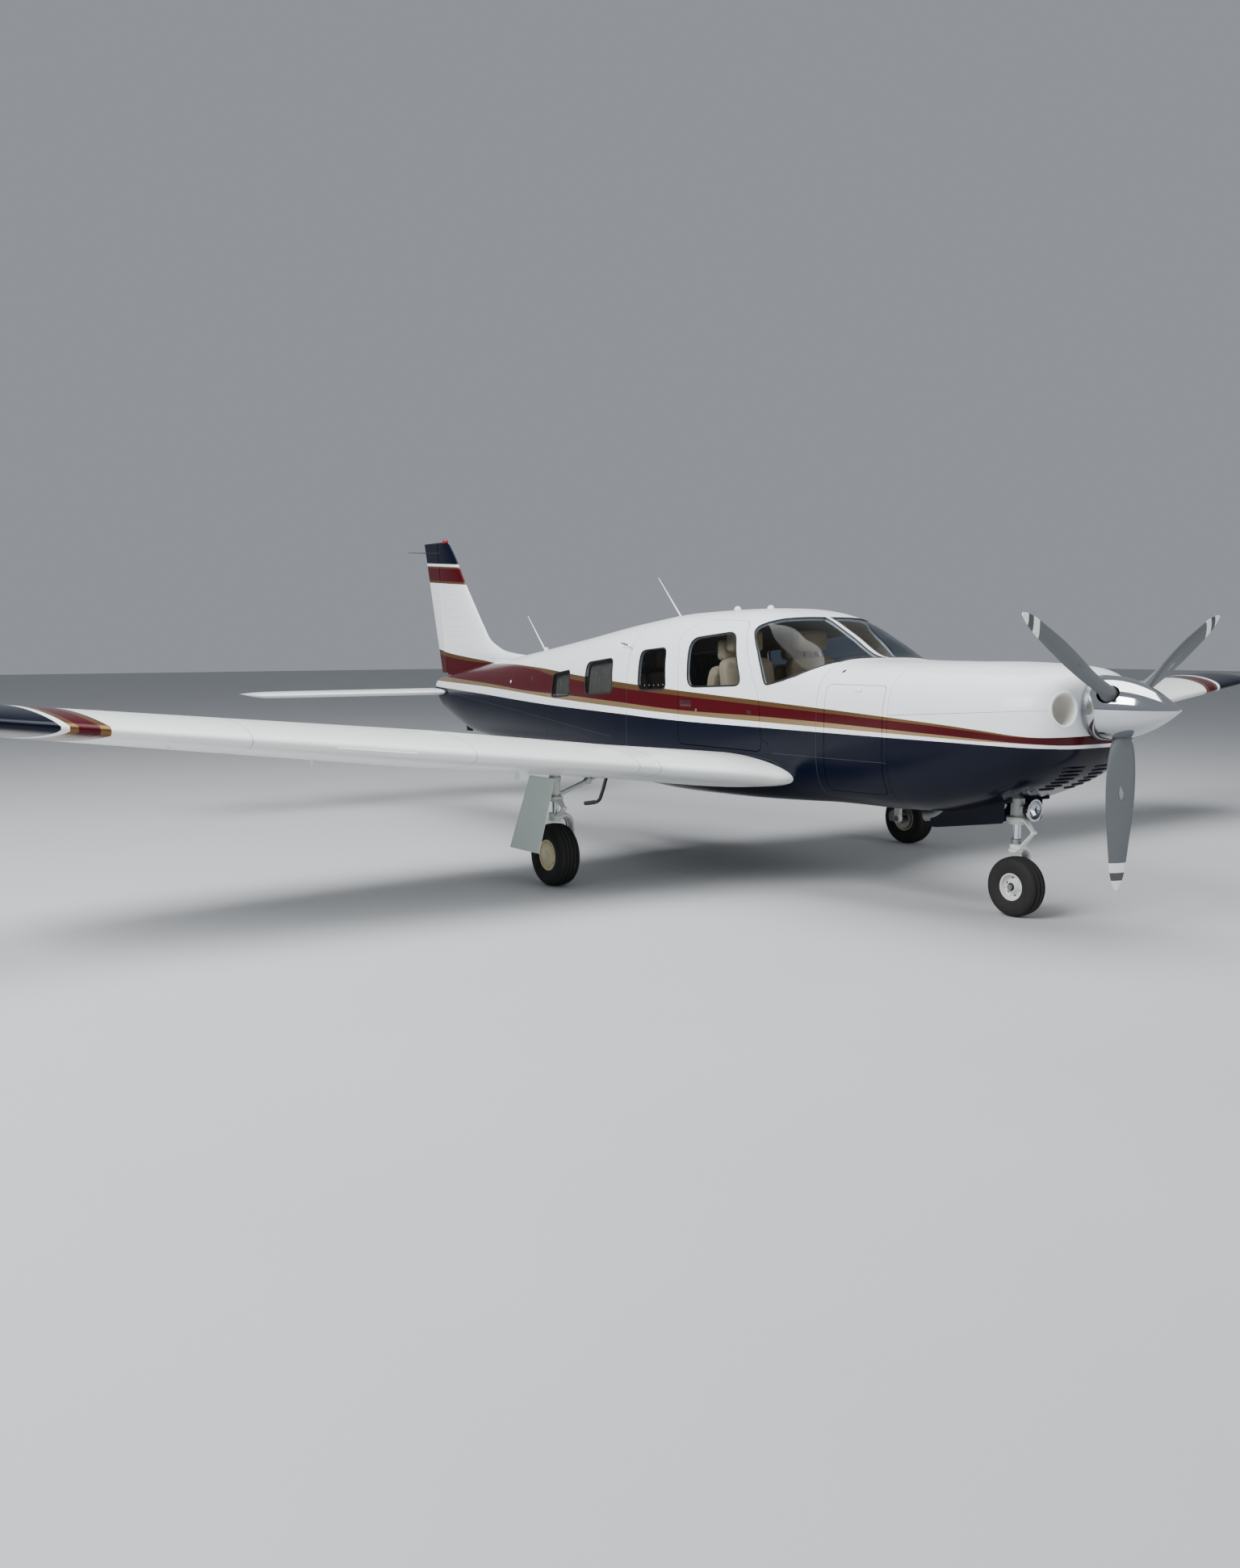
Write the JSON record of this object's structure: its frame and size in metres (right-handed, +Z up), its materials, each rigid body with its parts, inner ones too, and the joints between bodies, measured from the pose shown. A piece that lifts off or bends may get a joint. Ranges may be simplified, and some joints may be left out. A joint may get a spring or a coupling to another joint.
{
  "type": "light aircraft",
  "caption": "Low-wing single-engine touring aircraft on retractable tricycle gear, with a hollow furnished cabin, opening doors, hinged control surfaces and a turning propeller.",
  "frame": {"origin": "on the ground, below the middle of the length and of the span, with the aircraft parked on its wheels", "axes": "+X towards the nose, +Y towards the left wing tip, +Z up"},
  "size_m": [8.5, 11.02, 2.59],
  "materials": {
    "white_paint": "gloss",
    "navy_paint": "gloss",
    "pearl_paint": "gloss",
    "polished_metal": "polished",
    "blade_paint": "satin",
    "clear_acrylic": "polished",
    "rubber": "matte",
    "hub_paint": "satin",
    "gear_paint": "satin",
    "cast_metal": "matte",
    "leather": "satin",
    "panel_black": "matte",
    "carpet": "matte",
    "step_rubber": "matte",
    "lamp_lens": "polished"
  },
  "bodies": {
    "airframe": {"cowl_upper": "white_paint", "cowl_lower": "navy_paint", "engine_block": "cast_metal", "cabin_shell": "white_paint", "tail_cone": "white_paint", "fin": "white_paint", "windscreen_left": "clear_acrylic", "windscreen_right": "clear_acrylic", "right_third_window": "clear_acrylic", "right_fourth_window": "clear_acrylic", "right_fifth_window": "clear_acrylic", "left_second_window": "clear_acrylic", "left_third_window": "clear_acrylic", "cabin_floor": "carpet", "instrument_panel": "panel_black", "front_seat_left": "leather", "front_seat_right": "leather", "middle_seat_left": "leather", "middle_seat_right": "leather", "rear_seats": "leather", "wing_left": "pearl_paint", "wing_right": "pearl_paint", "wing_tip_left": "navy_paint", "wing_tip_right": "navy_paint", "main_gear_leg_left": "gear_paint", "main_gear_leg_right": "gear_paint", "gear_door_left": "gear_paint", "gear_door_right": "gear_paint", "nose_gear_strut": "gear_paint", "nose_gear_door_left": "navy_paint", "nose_gear_door_right": "navy_paint", "landing_light": "lamp_lens", "boarding_step": "step_rubber"},
    "propeller": {"spinner": "polished_metal", "propeller_blade_1": "blade_paint", "propeller_blade_2": "blade_paint", "propeller_blade_3": "blade_paint"},
    "front_door": {"front_door": "white_paint", "front_door_window": "clear_acrylic"},
    "rear_door": {"rear_door": "white_paint", "rear_door_window": "clear_acrylic"},
    "utility_door": {"utility_door": "white_paint", "utility_door_window": "clear_acrylic"},
    "nose_baggage_door": {"nose_baggage_door": "white_paint"},
    "aileron_left": {"aileron_left": "pearl_paint"},
    "aileron_right": {"aileron_right": "pearl_paint"},
    "flap_left": {"flap_left": "pearl_paint"},
    "flap_right": {"flap_right": "pearl_paint"},
    "rudder": {"rudder": "white_paint"},
    "stabilator": {"stabilator": "pearl_paint"},
    "anti_servo_tab": {"anti_servo_tab": "pearl_paint"},
    "main_wheel_left": {"main_tyre_left": "rubber", "main_hub_left": "hub_paint"},
    "main_wheel_right": {"main_tyre_right": "rubber", "main_hub_right": "hub_paint"},
    "nose_fork": {"nose_fork": "gear_paint"},
    "nose_wheel": {"nose_tyre": "rubber", "nose_hub": "gear_paint"}
  },
  "joints": [
    {"name": "propeller_spin", "type": "hinge", "parent": "airframe", "child": "propeller", "pos_m": [3.902, 0, 1.245], "axis": [1, 0, 0], "continuous": true},
    {"name": "nose_steering", "type": "hinge", "parent": "airframe", "child": "nose_fork", "pos_m": [3.223, 0, 0.5], "axis": [0, 0, 1], "range_deg": [-22.5, 22.5]},
    {"name": "nose_wheel_spin", "type": "hinge", "parent": "nose_fork", "child": "nose_wheel", "pos_m": [3.231, 0, 0.178], "axis": [0, 1, 0], "continuous": true},
    {"name": "left_wheel_spin", "type": "hinge", "parent": "airframe", "child": "main_wheel_left", "pos_m": [0.819, 1.665, 0.207], "axis": [0, 1, 0], "continuous": true},
    {"name": "right_wheel_spin", "type": "hinge", "parent": "airframe", "child": "main_wheel_right", "pos_m": [0.819, -1.665, 0.207], "axis": [0, 1, 0], "continuous": true},
    {"name": "left_aileron_hinge", "type": "hinge", "parent": "airframe", "child": "aileron_left", "pos_m": [0.35, 2.79, 0.92009], "axis": [0.0755, 0.991, 0.1102], "range_deg": [-12.5, 25]},
    {"name": "right_aileron_hinge", "type": "hinge", "parent": "airframe", "child": "aileron_right", "pos_m": [0.35, -2.79, 0.92009], "axis": [-0.0755, 0.991, -0.1102], "range_deg": [-12.5, 25]},
    {"name": "left_flap_hinge", "type": "hinge", "parent": "airframe", "child": "flap_left", "pos_m": [0.325, 0.715, 0.68685], "axis": [0, -0.9938, -0.1111], "range_deg": [0, 40]},
    {"name": "right_flap_hinge", "type": "hinge", "parent": "airframe", "child": "flap_right", "pos_m": [0.325, -0.715, 0.68685], "axis": [0, -0.9938, 0.1111], "range_deg": [0, 40]},
    {"name": "rudder_hinge", "type": "hinge", "parent": "airframe", "child": "rudder", "pos_m": [-3.725, 0, 1.285], "axis": [-0.1741, 0, 0.9847], "range_deg": [-27, 27]},
    {"name": "stabilator_pivot", "type": "hinge", "parent": "airframe", "child": "stabilator", "pos_m": [-3.72, 0, 1.105], "axis": [0, 1, 0], "range_deg": [-3, 14]},
    {"name": "anti_servo_tab_hinge", "type": "hinge", "parent": "stabilator", "child": "anti_servo_tab", "pos_m": [-4.095, 0, 1.105], "axis": [0, 1, 0], "range_deg": [-3, 12]},
    {"name": "front_door_hinge", "type": "hinge", "parent": "airframe", "child": "front_door", "pos_m": [1.69, -0.656, 1.06], "axis": [-0.1219, 0, 0.9925], "range_deg": [0, 75]},
    {"name": "rear_door_hinge", "type": "hinge", "parent": "airframe", "child": "rear_door", "pos_m": [0.04, 0.64, 1.2], "axis": [0, 0, -1], "range_deg": [0, 90]},
    {"name": "utility_door_hinge", "type": "hinge", "parent": "airframe", "child": "utility_door", "pos_m": [-1.14, 0.513, 1.13], "axis": [0, 0, 1], "range_deg": [0, 90]},
    {"name": "nose_baggage_door_hinge", "type": "hinge", "parent": "airframe", "child": "nose_baggage_door", "pos_m": [2.5, -0.628, 1.345], "axis": [-0.9975, -0.0705, 0], "range_deg": [0, 90]}
  ],
  "couplings": [
    {"joint": "right_flap_hinge", "follows": "left_flap_hinge", "ratio": 1},
    {"joint": "anti_servo_tab_hinge", "follows": "stabilator_pivot", "ratio": 0.8}
  ]
}
